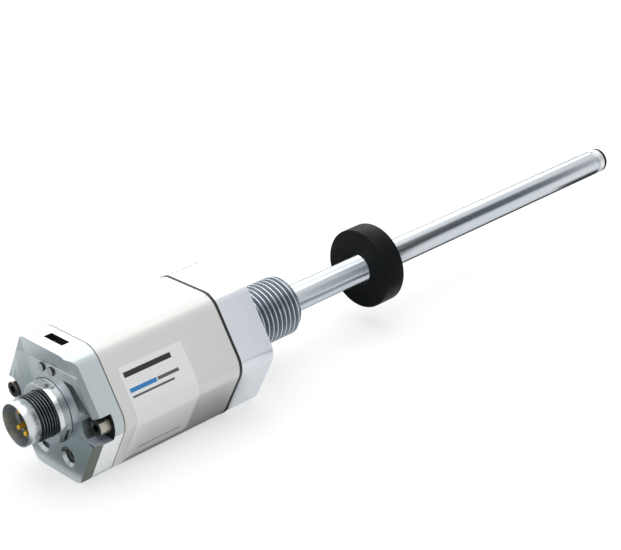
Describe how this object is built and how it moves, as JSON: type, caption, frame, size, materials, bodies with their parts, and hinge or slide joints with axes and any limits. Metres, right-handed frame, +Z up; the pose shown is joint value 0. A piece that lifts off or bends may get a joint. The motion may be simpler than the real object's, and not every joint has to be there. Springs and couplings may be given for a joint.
{
  "type": "magnetostrictive position sensor",
  "caption": "Linear position sensor with a hexagon housing, a threaded stud, a long pressure rod and a ring magnet that slides along it.",
  "frame": {"origin": "on the axis at the flange's stop face, where the mounting thread begins", "axes": "+X along the axis towards the rod's tip, +Z up from the hexagon flat that it rests on"},
  "size_m": [0.2969, 0.0507, 0.046],
  "materials": {
    "cap_metal": "blasted and clear anodised",
    "sleeve_metal": "warm light grey anodised",
    "flange_steel": "turned stainless",
    "rod_steel": "polished stainless",
    "nickel": "nickel plated",
    "screw_steel": "plain",
    "seam_rubber": "matt grey",
    "gasket_rubber": "matt black",
    "black_plastic": "moulded",
    "magnet_black": "plastic bonded ferrite",
    "gold_contact": "gold plated",
    "lamp_pipe": "clear",
    "board_green": "solder mask",
    "carrier_plastic": "moulded",
    "liner_plastic": "extruded",
    "damper_rubber": "silicone",
    "copper": "enamelled copper",
    "label_film": "bare satin film"
  },
  "bodies": {
    "sensor": {"front_cap": "cap_metal", "cap_screws": "screw_steel", "port_screws": "screw_steel", "light_pipes": "lamp_pipe", "cap_gasket": "seam_rubber", "housing_sleeve": "sleeve_metal", "flange_gasket": "gasket_rubber", "type_label": "label_film", "mounting_flange": "flange_steel", "pressure_tube": "rod_steel", "rod_end_plug": "rod_steel", "connector_shell": "nickel", "connector_nut": "nickel", "connector_seal": "gasket_rubber", "connector_insert": "black_plastic", "connector_pins": "gold_contact", "connector_board": "board_green", "board_carrier": "carrier_plastic", "main_board": "board_green", "board_parts": "black_plastic", "pickup_head": "carrier_plastic", "pickup_coil": "copper", "waveguide": "rod_steel", "waveguide_liner": "liner_plastic", "liner_spacers": "damper_rubber", "damping_plug": "damper_rubber", "end_clamp": "gold_contact", "return_wire": "copper"},
    "magnet": {"position_magnet": "magnet_black"}
  },
  "joints": [
    {"name": "magnet_slide", "type": "slide", "parent": "sensor", "child": "magnet", "axis": [1, 0, 0], "range_m": [-0.0194, 0.0806]}
  ]
}
